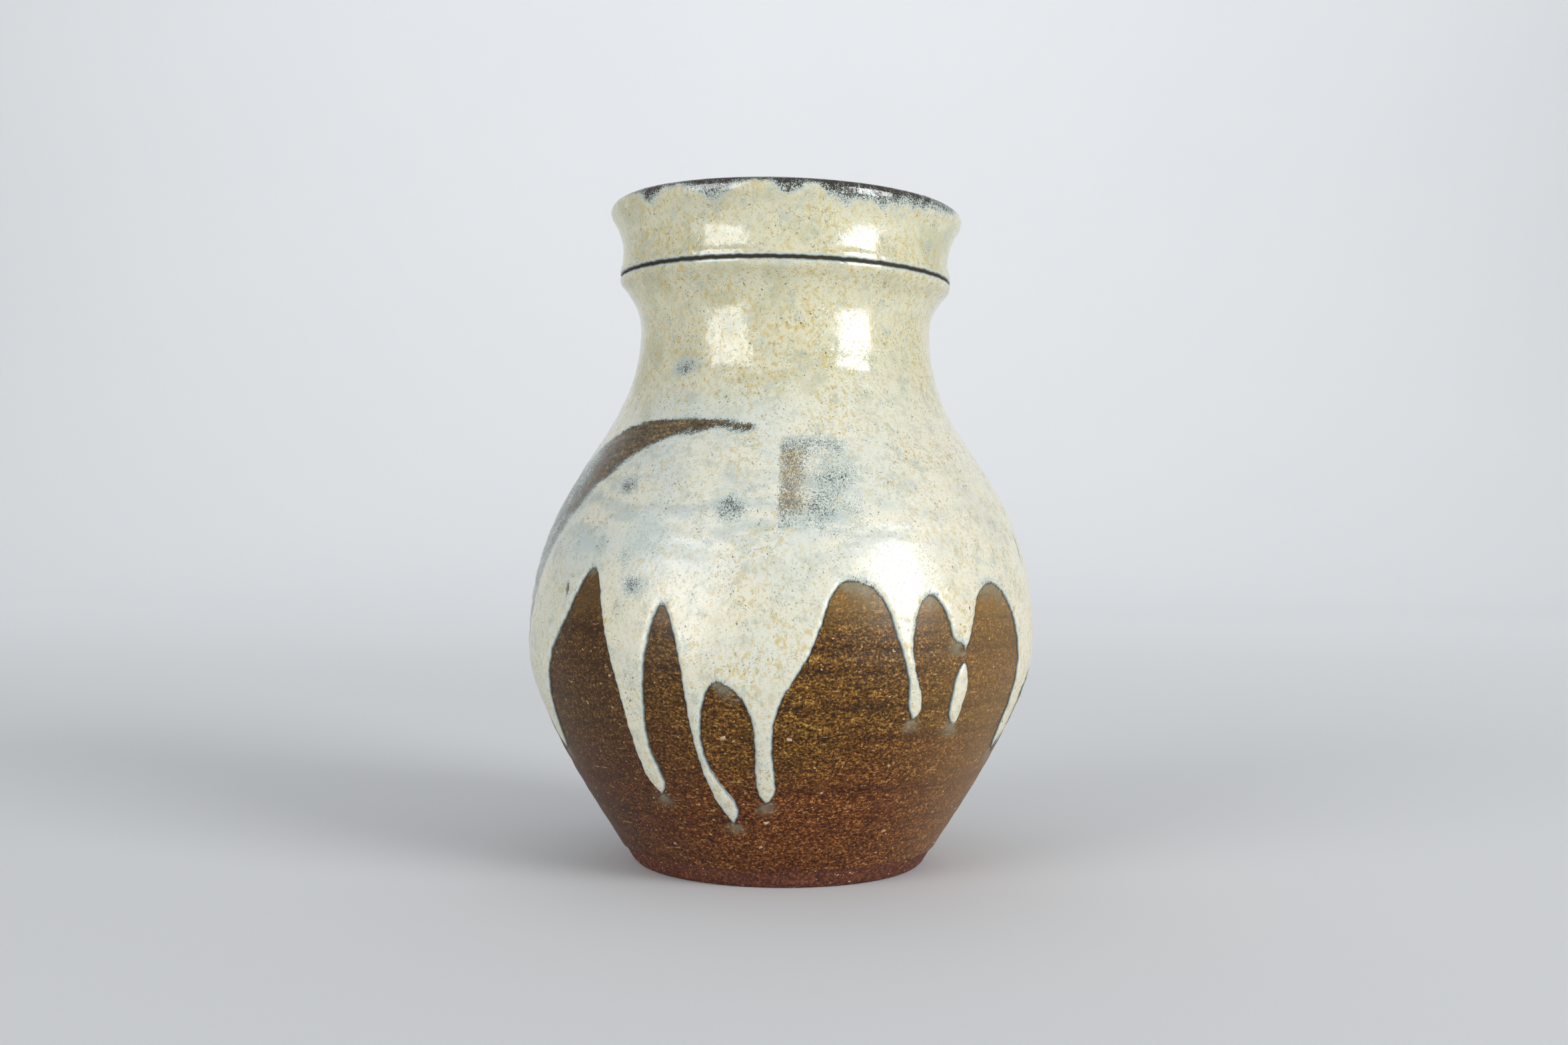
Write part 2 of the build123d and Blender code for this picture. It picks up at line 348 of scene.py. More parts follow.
def turns():
    """The columns' turns, once round."""
    return np.linspace(-math.pi, math.pi, COLUMNS, endpoint=False)


def stepped(start, end, step):
    """Evenly spaced numbers from start to end, about a step apart."""
    return np.linspace(start, end, max(2, round(abs(end - start) / step) + 1))


def iron_coat(shore):
    """The brown coat over the outside: fine rows outside, coarse ones against the clay."""
    low = np.concatenate([[0, 0.04, 0.12, 0.25, 0.45, 0.7], stepped(1.0, LIP_RUN - IRON_FOOT, 0.74)])
    rounded = IRON * np.sqrt(1 - (1 - np.minimum(low / 0.8, 1)) ** 2)
    back = stepped(LIP_RUN, IRON_FOOT, 8)[:-1]
    run = np.concatenate([IRON_FOOT + low, back])
    lift = np.concatenate([rounded, np.full(len(back), COAT_BACK)])
    turn = turns()[None, :]
    wave = 0.5 * wander(turn, 0, (30, 17, 9, 5), SEED + 2) * ease(1 - (run[:, None] - IRON_FOOT) / 7)
    run = run[:, None] + wave
    points = surface(turn, run, lift[:, None]).reshape(-1, 3)
    faces = ring_faces(len(lift), COLUMNS, True)
    each_turn, each_run = np.broadcast_to(turn, run.shape).ravel(), run.ravel()
    reach, below = shore(each_turn, each_run)
    level = groove_level(each_turn, height_at(each_run))
    band = sum(
        np.exp(-((level - place) / (1.5 * width)) ** 2) * (0.6 + 0.4 * np.sin(2 * each_turn + place))
        for place, _, width in GROOVES
    )
    return mesh_piece("iron_glaze_coat", points, faces, {"shore": reach, "below": below, "band": band})


def liner_coat():
    """The dark coat over the lip, down the inside and across the floor."""
    over = stepped(LIP_RUN, LIP_RUN + 7.5, 0.3)
    inside = stepped(over[-1] + 1, RUN[-1] - 2, 1.3)
    back = stepped(RUN[-1] - 2, LIP_RUN, 5)
    run = np.concatenate([over, inside, back])
    lift = np.concatenate([np.full(len(over) + len(inside), IRON), np.full(len(back), COAT_BACK)])
    turn = turns()[None, :]
    run, lift = run[:, None], lift[:, None]
    deep = ease((run - over[-1]) / 12) * ease((RUN[-1] - 25 - run) / 10) * (lift > 0)
    rings = 0.12 * np.sin(2 * math.pi * run / 6.3 + turn) + 0.1 * wander(turn, run, (40, 25), SEED + 3)
    chatter = 0.05 * wander(turn, run, (21, 13, 8), SEED + 4) * ease((run - RUN[CREST]) / 1.5) * (lift > 0)
    points = surface(turn, run, lift + deep * rings + chatter).reshape(-1, 3)
    poles = [placed(np.zeros(1), np.zeros(1), PROFILE[-1, 1:] + off) for off in (IRON, COAT_BACK)]
    rows = len(run)
    half = len(over) + len(inside)
    faces = ring_faces(half, COLUMNS, False)
    lower = ring_faces(rows - half, COLUMNS, False)
    faces += [tuple(half * COLUMNS + i for i in face) for face in lower]
    faces += cap_faces((half - 1) * COLUMNS, COLUMNS, rows * COLUMNS, False)
    faces += cap_faces(half * COLUMNS, COLUMNS, rows * COLUMNS + 1, True)
    last = (rows - 1) * COLUMNS
    faces += [(last + j, last + (j + 1) % COLUMNS, (j + 1) % COLUMNS, j) for j in range(COLUMNS)]
    return mesh_piece("liner_glaze_coat", np.vstack([points, *poles]), faces)


def clay_piece():
    """The thrown body: coarse under its glazes, fine at the bare foot."""
    _, under = clay_section()
    foot = stepped(0, IRON_FOOT + 3, 0.35)
    rest = stepped(IRON_FOOT + 7, RUN[-1] - 2, 4)
    run = np.concatenate([foot, rest])[:, None]
    turn = turns()[None, :]
    upper = surface(turn, run, np.where(run > IRON_FOOT + 2, CLAY_UNDER, 0)).reshape(-1, 3)
    along = lengths_along(under)
    at = np.concatenate([stepped(0.25, along[-2], 0.45), stepped(along[-2] + 4, along[-1] - 2, 6)])
    beneath = np.stack([np.interp(at, along, under[:, k]) for k in range(2)], axis=1)
    beneath[1:-1] = (beneath[:-2] + 2 * beneath[1:-1] + beneath[2:]) / 4
    lower = placed(beneath[:, :1], turn, beneath[:, 1:]).reshape(-1, 3)
    poles = [placed(np.zeros(1), np.zeros(1), PROFILE[-1, 1:] + CLAY_UNDER),
             placed(np.zeros(1), np.zeros(1), under[-1:, 1])]
    points = np.vstack([lower[::-1].reshape(len(at), COLUMNS, 3)[:, ::-1].reshape(-1, 3), upper, *poles])
    rows = len(at) + len(run)
    faces = ring_faces(rows, COLUMNS, False)
    faces += cap_faces(0, COLUMNS, len(points) - 1, True)
    faces += cap_faces((rows - 1) * COLUMNS, COLUMNS, len(points) - 2, False)
    return mesh_piece("clay_body_thrown", points, faces)


# ---- the poured glaze ----

def outer_outlines(node):
    """The outlines of a cream glaze node's outer face, as arrays of (turn, run)."""
    points, corners, normals = arrays(node)
    middle = points[corners].mean(axis=1)
    radius = np.hypot(middle[:, 0], middle[:, 1])
    outward = (normals[:, 0] * middle[:, 0] + normals[:, 1] * middle[:, 1]) / radius
    wall = radius_at(run_at(np.minimum(middle[:, 2], PROFILE[CREST, 1])))
    outer = (outward > 0.6) & (radius - wall > IRON + CREAM / 2)
    same = welded(points)
    used = {}
    for triangle in corners[outer]:
        for a, b in ((0, 1), (1, 2), (2, 0)):
            edge = tuple(sorted((same[triangle[a]], same[triangle[b]])))
            used[edge] = used.get(edge, 0) + 1
    outlines = []
    for chain in chained([edge for edge, count in used.items() if count == 1]):
        x, y, z = points[chain].T
        turn = np.unwrap(np.arctan2(x, -y))
        if len(chain) > 8:
            outlines.append(np.stack([turn, run_at(z)], axis=1))
    return outlines


def conformal(outline):
    """(turn, run) to the flat map on which shapes keep their angles."""
    return np.stack([outline[:, 0], np.interp(outline[:, 1], RUN, SPREAD)], axis=1)


def run_of(spread):
    """The run at a height on the flat map."""
    return np.interp(spread, SPREAD, RUN)


def evened(outline, step, rough, seed):
    """An outline on the flat map with even steps in mm, and a slight roughness."""
    scale = radius_at(run_of(outline[:, 1])) + IRON
    gaps = np.hypot(*np.diff(outline, axis=0).T) * (scale[1:] + scale[:-1]) / 2
    along = np.concatenate([[0], np.cumsum(gaps)])
    at = np.linspace(0, along[-1], int(along[-1] / step) + 1)
    made = np.stack([np.interp(at, along, outline[:, k]) for k in range(2)], axis=1)
    slope = np.gradient(made, axis=0)
    slope /= np.maximum(np.linalg.norm(slope, axis=1), 1e-9)[:, None]
    chance = np.random.default_rng(seed)
    waves = 0
    for size in (7, 3.7, 2.1):
        turns_round = 2 * math.pi * round(along[-1] / size) / along[-1]
        waves = waves + np.sin(turns_round * at + chance.uniform(0, 2 * math.pi))
    shift = rough * waves / 1.7 / (radius_at(run_of(made[:, 1])) + IRON)
    return made + slope[:, ::-1] * [-1, 1] * shift[:, None]


def cut_round(outline):
    """An outline that goes all the way round, cut to start at a turn of -pi and end at pi."""
    if outline[-1, 0] < outline[0, 0]:
        outline = outline[::-1]
    body = outline[:-1]
    shift = np.ceil((-math.pi - body[:, 0]) / (2 * math.pi)) * 2 * math.pi
    body = np.stack([body[:, 0] + shift, body[:, 1]], axis=1)
    start = int(np.argmin(body[:, 0]))
    body = np.roll(body, -start, axis=0)
    ahead = np.vstack([body, body[:1] + [2 * math.pi, 0]])
    before = ahead[-2] - [2 * math.pi, 0]
    share = (-math.pi - before[0]) / (ahead[0, 0] - before[0])
    at_cut = before[1] + share * (ahead[0, 1] - before[1])
    return np.vstack([[-math.pi, at_cut], body, [math.pi, at_cut]])


class Shore:
    """Distances in mm from the edges of the cream glaze, and whether the nearest edge lies straight above."""

    def __init__(self, outlines):
        samples, inward = [], []
        for outline in outlines:
            fine = np.vstack([outline[:-1] + (outline[1:] - outline[:-1]) * t for t in (0, 0.5)])
            places = np.arange(len(outline) - 1)
            fine = fine[np.argsort(np.concatenate([places, places + 0.5]))]
            slope = np.gradient(fine, axis=0)
            slope /= np.maximum(np.linalg.norm(slope, axis=1), 1e-12)[:, None]
            samples.append(fine)
            inward.append(slope[:, ::-1] * [-1, 1])
        flat, normals = np.vstack(samples), np.vstack(inward)
        near = np.abs(flat[:, 0]) > math.pi - 0.3
        other = flat[near] - np.sign(flat[near][:, :1]) * [2 * math.pi, 0]
        self.flat = np.vstack([flat, other])
        self.inward = np.vstack([normals, normals[near]])
        self.tree = kdtree.KDTree(len(self.flat))
        for i, (x, y) in enumerate(self.flat):
            self.tree.insert((x, y, 0), i)
        self.tree.balance()

    def signed(self, flat):
        """Distances in mm, positive inside the glaze, and the inward directions at the nearest edge."""
        nearest = np.array([self.tree.find((x, y, 0))[1] for x, y in flat])
        away = flat - self.flat[nearest]
        inward = self.inward[nearest]
        scale = radius_at(run_of(flat[:, 1])) + IRON
        distance = np.hypot(*away.T) * scale
        return np.where((away * inward).sum(axis=1) < 0, -distance, distance), inward

    def outside(self, turn, run):
        """For the brown coat: the distance from the cream glaze, and how straight below a tip a place is."""
        flat = conformal(np.stack([(turn + math.pi) % (2 * math.pi) - math.pi, run], axis=1))
        distance, inward = self.signed(flat)
        return np.maximum(-distance, 0), ease((inward[:, 1] - 0.55) / 0.4) * (distance < 0)


def grid_over(low, high, left, right, step):
    """Staggered points over a stretch of the flat map, about one step apart in mm."""
    rows = []
    run, row = run_of(low), 0
    while run < run_of(high):
        gap = step / (radius_at(run) + IRON)
        count = max(1, int((right - left) / gap))
        turn = left + (np.arange(count) + 0.5 * (row % 2) + 0.25) * (right - left) / count
        rows.append(np.stack([turn, np.full(count, np.interp(run, RUN, SPREAD))], axis=1))
        run += step * 0.87
        row += 1
    return np.vstack(rows)


def triangles(border, loose):
    """Triangles of the area inside a closed border on the flat map, through the loose points too."""
    points = [Vector(p) for p in border.tolist() + loose.tolist()]
    count = len(border)
    edges = [(i, (i + 1) % count) for i in range(count)]
    made, _, faces, *_ = delaunay_2d_cdt(points, edges, [], 1, 1e-7)
    return np.array([tuple(p) for p in made]), [tuple(face) for face in faces]


def bare_band(turn, height):
    """How bare the band on the left shoulder is. It is solid in its middle and thinner towards both ends."""
    degrees = np.degrees(turn)
    top = eased(*np.array(BAND_TOP, float).T, degrees)
    bottom = eased(*np.array(BAND_BOTTOM, float).T, degrees) + 0.5 * wander(turn, height, (9, 6, 4), SEED + 8)
    fade = ease((degrees + 92) / 18) * ease((-8.0 - degrees) / 1.2)
    fade = fade * (1.45 - 0.75 * ease((-52 - degrees) / 20) - 0.6 * ease((degrees + 32) / 12) * 0.6)
    lower_blur = 4 + 6 * ease((-46 - degrees) / 14)
    band = ease((top - height) / 1.0 + 0.5) * ease((height - bottom) / lower_blur + 0.45)
    return band * fade


def speckled_patch(turn, height):
    """How thin the patch in the middle of the shoulder is, most so in a streak by its left edge."""
    degrees = np.degrees(turn)
    inside = ease((degrees - PATCH_LEFT) / 1.4 + 0.5) * ease((PATCH_TOP - height) / 1.8 + 0.5)
    inside = inside * ease((height - PATCH_BOTTOM) / 4.0 + 0.5)
    across = (degrees - PATCH_LEFT) / (PATCH_RIGHT - PATCH_LEFT)
    patch = inside * (0.50 - 0.06 * across) * ease((1 - across) / 0.45)
    patch = patch * (1 + 0.22 * wander(turn, 1.6 * height, (17, 11, 8), SEED + 7))
    streak = np.exp(-((degrees - 1.6) / 2.6) ** 2) * ease((height - 84) / 4) * ease((101 - height) / 4)
    return patch + inside * 0.22 * streak


def thinness_and_shade(turn, height):
    """How thin the cream glaze was brushed or wiped, from 0 to 1, or more where it is bare. Two smudges in
    the list are painted shade on the left of the belly.
    """
    thin = np.maximum(bare_band(turn, height), speckled_patch(turn, height))
    # Two of these smudges, at (-43, 88) and (-32, 80), are painted shade on the left of the belly.
    for angle, level, width, tall, strength in SMUDGES_AND_SHADE:
        across = (np.degrees(turn) - angle + 180) % 360 - 180
        across = np.radians(across) * radius_at(run_at(level)) / width
        thin = np.maximum(thin, strength * np.exp(-across ** 2 - ((height - level) / tall) ** 2))
    return thin


def lip_thinness(turn, run):
    """How thin the collar's cream glaze has run below the lip."""
    reach = LIP_REACH
    for angle, width, more in LIP_THIN:
        reach = reach + more * np.exp(-((np.degrees(turn) - angle) / width) ** 2)
    reach = reach * (1 + 0.15 * wander(turn, run, (8, 5, 3.5), SEED + 6))
    return 1.15 * (1 - ease((CREAM_TOP - run - 0.2 * reach) / (1.7 * reach + 0.7)))


def poured(name, border, shore, bounds, to_lip):
    """A cream glaze piece: a fine skin with rounded edges on a coarse underside that shares its border."""
    low, high, left, right = bounds
    grid = grid_over(low, high, left, right, SKIN_STEP)
    inside, _ = shore.signed(grid)
    grid = grid[inside > 1.9]
    rings = []
    for depth, each in ((0.1, 1), (0.26, 1), (0.55, 1), (0.95, 2), (1.45, 2)):
        scale = (radius_at(run_of(shore.flat[:, 1])) + IRON)[:, None]
        ring = (shore.flat + shore.inward * depth / scale)[::2 * each]
        distance, _ = shore.signed(ring)
        rings.append(ring[distance > 0.93 * depth])
    loose = np.vstack([grid, *rings])
    loose = loose[(np.abs(loose[:, 0]) < math.pi - 0.004) & (loose[:, 1] > low) & (loose[:, 1] < high)]
    skin, skin_faces = triangles(border, loose)
    coarse = grid_over(low, high, left, right, BACK_STEP)
    inside, _ = shore.signed(coarse)
    back, back_faces = triangles(border, coarse[(inside > 2.5) & (np.abs(coarse[:, 0]) < math.pi - 0.03)])
    flat = np.vstack([skin, back])
    turn, run = np.where(flat[:, 0] < 1e-6 - math.pi, math.pi, flat[:, 0]), run_of(flat[:, 1])
    distance, inward = shore.signed(flat)
    depth = np.maximum(distance, 0)
    height = height_at(run)
    bead = np.sqrt(1 - (1 - np.minimum(depth / 1.1, 1)) ** 2)
    roll = 0.12 * np.exp(-((depth - 1.3) / 0.9) ** 2) * ease((depth - 0.2) / 0.8)
    uneven = 0.05 * wander(turn, run, (26, 17, 11), SEED + 5)
    thick = (CREAM + uneven + roll) * bead - 0.05
    if to_lip:
        thick = thick * (0.8 + 0.2 * ease((CREAM_TOP - run) / 7))
    thin = thinness_and_shade(turn, height)
    tip = ease((inward[:, 1] - 0.5) / 0.4) * np.exp(-(depth / 2.2) ** 2) * (height < LIP / 2)
    thin = np.maximum(thin, 0.5 * tip)
    if to_lip:
        thin = np.maximum(thin, lip_thinness(turn, run))
    lift = IRON + thick * (1 - 0.5 * np.minimum(thin, 1))
    under = np.arange(len(flat)) >= len(skin)
    lift = np.where(under, IRON - SUNK, lift)
    lift = np.where(depth < 0.02, IRON - 0.05, lift)
    points = surface(turn, run, lift)
    same = welded(points / MM * 2)
    faces = skin_faces + [tuple(i + len(skin) for i in face[::-1]) for face in back_faces]
    kept, renumbered = np.unique(same, return_inverse=True)
    renumbered = renumbered.ravel()
    faces = [tuple(int(renumbered[i]) for i in face) for face in faces]
    faces = [face for face in faces if len(set(face)) == len(face)]
    return mesh_piece(name, points[kept], faces, {"edge": depth[kept], "thin": thin[kept]}, 75)


def strip_border(bottom, top):
    """The border of a glaze that goes all the way round, between two outlines cut at the back."""
    tall = abs(top[0, 1] - bottom[0, 1]) * SEAM_RADIUS
    side = np.linspace(bottom[0, 1], top[0, 1], max(3, int(tall / SKIN_STEP)))[1:-1]
    right = np.stack([np.full(len(side), math.pi), side], axis=1)
    left = np.stack([np.full(len(side), -math.pi), side[::-1]], axis=1)
    return np.vstack([bottom, right, top[::-1], left])


def around(node, step, rough, lifted, to_lip):
    """A wrapping glaze node's bottom and top outlines on the flat map, moved up by the mm in lifted."""
    loops = sorted(outer_outlines(node), key=lambda o: o[:, 1].mean())
    bottom, top = loops[0], loops[-1]
    bottom, top = bottom + [0, lifted[0]], top + [0, lifted[1]]
    if to_lip:
        top = top * [1, 0] + [0, CREAM_TOP]
    outlines = []
    for number, outline in enumerate((bottom, top)):
        cut = cut_round(conformal(outline))
        made = evened(cut, step, rough[number], SEED + 20 + number + len(node))
        made[0], made[-1] = cut[0], cut[-1]
        made[-1, 1] = made[0, 1]
        outlines.append(made)
    return outlines


def ring_glaze(name, node, step, rough, lifted, to_lip):
    """A cream glaze that goes all the way round, and its shore."""
    bottom, top = around(node, step, rough, lifted, to_lip)
    shore = Shore([bottom, top[::-1]])
    bounds = (bottom[:, 1].min(), top[:, 1].max(), -math.pi, math.pi)
    return poured(name, strip_border(bottom, top), shore, bounds, to_lip), [bottom, top[::-1]]


def run_glaze(name, node):
    """The run that has parted from the glaze above it, and its shore."""
    outline = conformal(max(outer_outlines(node), key=len))
    area = np.sum(outline[:-1, 0] * outline[1:, 1] - outline[1:, 0] * outline[:-1, 1])
    if area < 0:
        outline = outline[::-1]
    outline = evened(outline, 0.4, 0.04, SEED + 40)
    outline[-1] = outline[0]
    shore = Shore([outline])
    bounds = (outline[:, 1].min(), outline[:, 1].max(), outline[:, 0].min(), outline[:, 0].max())
    return poured(name, outline[:-1], shore, bounds, False), [outline]


def grog(shore):
    """Pale angular chips of grog: the frame's large ones, and many small ones in the bare glaze."""
    points, _, _ = arrays("grog_chips")
    large = points.reshape(-1, 24, 3).mean(axis=1)
    chance = np.random.default_rng(SEED + 60)
    places = [(math.atan2(x, -y), run_at(z), 1.05) for x, y, z in large]
    while len(places) < CHIPS:
        turn, run = chance.uniform(-math.pi, math.pi), chance.uniform(IRON_FOOT + 2, run_at(CHIPS_BELOW))
        distance, _ = shore.outside(np.array([turn]), np.array([run]))
        if distance[0] > 1.3:
            places.append((turn, run, 0.22 + 0.5 * chance.random() ** 2.5))
    corners = [(x, y, z) for x in (-1, 1) for y in (-1, 1) for z in (-1, 1)] + [
        (0, 0, 1.5), (1.4, 0, 0), (-1.4, 0, 0), (0, 1.4, 0), (0, -1.4, 0), (0, 0, -1.5)]
    sides = [(8, 1, 3), (8, 3, 7), (8, 7, 5), (8, 5, 1), (13, 2, 0), (13, 6, 2), (13, 4, 6), (13, 0, 4),
             (9, 5, 7), (9, 7, 6), (9, 6, 4), (9, 4, 5), (10, 3, 1), (10, 2, 3), (10, 0, 2), (10, 1, 0),
             (11, 7, 3), (11, 6, 7), (11, 2, 6), (11, 3, 2), (12, 1, 5), (12, 0, 1), (12, 4, 0), (12, 5, 4)]
    corners = np.array(corners)
    corners = corners / np.linalg.norm(corners, axis=1)[:, None]
    all_points, faces = [], []
    for turn, run, size in places:
        centre, right, up, out = axes_at(turn, run, IRON - 0.3 * size)
        shape = corners * chance.uniform(0.72, 1.15, (len(corners), 1)) * size * [1.25, 0.8, 0.45]
        spin = chance.uniform(-0.6, 0.6)
        across = shape[:, 0] * math.cos(spin) - shape[:, 1] * math.sin(spin)
        along = shape[:, 0] * math.sin(spin) + shape[:, 1] * math.cos(spin)
        made = centre + (np.outer(across, right) + np.outer(along, up) + np.outer(shape[:, 2], out)) * MM
        first = len(all_points) * len(corners)
        faces += [tuple(first + i for i in side[::-1]) for side in sides]
        all_points.append(made)
    return mesh_piece("grog_chip_group", np.vstack(all_points), faces, sharp=25)


def axes_at(turn, run, lift):
    """A place on the surface in metres, with its directions to the right, up the wall and out."""
    spots = surface(np.array([turn, turn + 0.01, turn]), np.array([run, run, run + 0.6]), lift)
    right = spots[1] - spots[0]
    up = spots[2] - spots[0]
    right /= np.linalg.norm(right)
    up /= np.linalg.norm(up)
    out = np.cross(right, up)
    return spots[0], right, up, out


# ---- materials ----

def colour(red, green, blue):
    """A screen colour, 0 to 255, as the linear colour that the shader takes."""
    parts = [c / 255 for c in (red, green, blue)]
    return tuple(c / 12.92 if c <= 0.04045 else ((c + 0.055) / 1.055) ** 2.4 for c in parts) + (1.0,)


class Paint:
    """A node material, with a short call for each kind of node that it uses."""

    def __init__(self, name, **fixed):
        self.material = bpy.data.materials.new(name)
        self.material.use_nodes = True
        self.tree = self.material.node_tree
        self.shader = self.tree.nodes["Principled BSDF"]
        for key, value in fixed.items():
            self.shader.inputs[key.replace("_", " ")].default_value = value
        self.place = self.tree.nodes.new("ShaderNodeTexCoord").outputs["Object"]
        self.seed = 0

    def node(self, kind, feeds, **settings):
        """A node with its inputs linked or set, by name or number."""
        made = self.tree.nodes.new(kind)
        for key, value in settings.items():
            setattr(made, key, value)
        for key, value in feeds.items():
            if isinstance(value, bpy.types.NodeSocket):
                self.tree.links.new(value, made.inputs[key])
            else:
                made.inputs[key].default_value = value
        return made

    def math(self, operation, *values):
        """A sum on numbers or outputs."""
        feeds = dict(enumerate(values))
        return self.node("ShaderNodeMath", feeds, operation=operation).outputs[0]

    def times(self, a, b):
        return self.math("MULTIPLY", a, b)

    def plus(self, a, b):
        return self.math("ADD", a, b)

    def noise(self, size, detail=2.0, roughness=0.5, squash=(1, 1, 1)):
        """Noise whose grains are about size mm across, its middle at 0.5."""
        self.seed += 1
        scale = [1 / (MM * size) * s for s in squash]
        at = self.node("ShaderNodeMapping", {"Vector": self.place, "Scale": scale}).outputs[0]
        feeds = {"Vector": at, "W": 3.7 * self.seed, "Scale": 1.0, "Detail": detail, "Roughness": roughness}
        return self.node("ShaderNodeTexNoise", feeds, noise_dimensions="4D").outputs[0]

    def share(self, value, low, high, start=0.0, end=1.0):
        """start to end, smoothly, as a value goes from low to high."""
        feeds = {"Value": value, "From Min": low, "From Max": high, "To Min": start, "To Max": end}
        return self.node("ShaderNodeMapRange", feeds, interpolation_type="SMOOTHSTEP").outputs[0]

    def ramp(self, factor, stops):
        """A colour that goes through the stops' colours as the factor grows."""
        made = self.node("ShaderNodeValToRGB", {"Fac": factor})
        elements = made.color_ramp.elements
        while len(elements) < len(stops):
            elements.new(0.5)
        for element, (place, shade) in zip(elements, stops):
            element.position = place
            element.color = colour(*shade)
        return made.outputs[0]

    def mix(self, factor, a, b):
        """The colour a at a factor of 0, and b at 1."""
        made = self.node("ShaderNodeMix", {0: factor}, data_type="RGBA")
        for key, value in ((6, a), (7, b)):
            if isinstance(value, bpy.types.NodeSocket):
                self.tree.links.new(value, made.inputs[key])
            else:
                made.inputs[key].default_value = colour(*value)
        return made.outputs[2]

    def attribute(self, name):
        """The numbers that the mesh carries at its points under a name."""
        return self.node("ShaderNodeAttribute", {}, attribute_name=name).outputs["Fac"]

    def height(self):
        """The height in mm."""
        z = self.node("ShaderNodeSeparateXYZ", {0: self.place}).outputs[2]
        return self.math("DIVIDE", z, MM)

    def sideways(self):
        """How far to the right of the axis, in mm."""
        x = self.node("ShaderNodeSeparateXYZ", {0: self.place}).outputs[0]
        return self.math("DIVIDE", x, MM)

    def bump(self, height, depth, before=None):
        """A normal that stands a depth in mm where height is 1."""
        feeds = {"Height": height, "Distance": depth * MM, "Strength": 1.0}
        if before is not None:
            feeds["Normal"] = before
        return self.node("ShaderNodeBump", feeds).outputs[0]

    def finish(self, base, roughness, normal):
        """The material, with its shader's three painted inputs linked."""
        for key, value in (("Base Color", base), ("Roughness", roughness), ("Normal", normal)):
            self.tree.links.new(value, self.shader.inputs[key])
        return self.material


def cream_cover(p, height, grain):
    """How well the cream hides the iron: 0 or less where bare, 1 where thick, finely specked between."""
    edge, thin = p.attribute("edge"), p.attribute("thin")
    cloud = p.noise(3.0, 4, 0.65)
    shore = p.math("MULTIPLY_ADD", edge, p.share(height, 125, 140, 0.95, 1.3), 0.03)
    cover = p.math("MINIMUM", shore, p.math("SUBTRACT", 1.0, thin))
    spread = p.math("MAXIMUM", p.times(thin, p.math("MULTIPLY_ADD", thin, -4.2, 6.6)), 0.0)
    jitter = p.times(p.math("SUBTRACT", grain, 0.5), p.plus(spread, 0.30))
    veil = p.times(p.math("SUBTRACT", cloud, 0.5), p.math("MULTIPLY_ADD", thin, 1.0, 0.25))
    return p.plus(p.plus(cover, jitter), veil)


def thick_cream(p, height, side):
    """The thick glaze: white on the shoulder, yellower on the neck and belly, mottled with ochre and grey."""
    drift = p.noise(22, 2, 0.5)
    body = p.mix(p.share(drift, 0.40, 0.60), (208, 216, 210), (226, 225, 209))
    body = p.mix(p.share(side, -5, 40), body, (227, 223, 203))
    body = p.mix(p.share(height, 103, 124), body, (212, 209, 181))
    body = p.mix(p.share(height, 80, 64, 0.0, 0.55), body, (224, 218, 192))
    belt = p.times(p.share(height, 68, 82), p.share(height, 104, 90))
    belt = p.times(belt, p.share(side, 42, 12, 0.3, 1.0))
    haze = p.times(p.share(p.noise(9, 4, 0.6, (0.7, 0.7, 1.8)), 0.44, 0.60), belt)
    body = p.mix(p.times(haze, 0.7), body, (180, 194, 194))
    patchy = p.share(p.noise(12, 2, 0.5), 0.38, 0.60, 0.15, 0.75)
    olive = p.times(p.share(p.noise(10, 4, 0.65), 0.48, 0.62), p.share(height, 100, 118))
    body = p.mix(p.times(olive, 0.55), body, (178, 180, 148))
    often = p.plus(p.share(height, 103, 122, 0.0, 0.4), patchy)
    often = p.plus(p.share(height, 76, 62, 0.0, 0.25), often)
    ochre = p.times(p.share(p.noise(1.2, 5, 0.72, (1, 1, 0.75)), 0.48, 0.62), often)
    body = p.mix(p.times(ochre, 0.8), body, (200, 177, 106))
    rust = p.times(p.share(p.noise(0.8, 3, 0.65), 0.62, 0.69), often)
    body = p.mix(rust, body, (184, 146, 60))
    grey = p.share(p.noise(3.2, 5, 0.7), 0.50, 0.66)
    body = p.mix(p.times(grey, 0.5), body, (166, 178, 168))
    crowd = p.share(p.noise(7, 3, 0.6), 0.38, 0.60, 0.35, 1.0)
    pepper = p.times(p.share(p.noise(0.42, 2, 0.65), 0.43, 0.33), crowd)
    body = p.mix(p.times(pepper, 0.8), body, (112, 122, 110))
    dots = p.times(p.share(p.noise(0.75, 1, 0.5), 0.30, 0.25), crowd)
    return p.mix(p.times(dots, 0.9), body, (54, 60, 46))


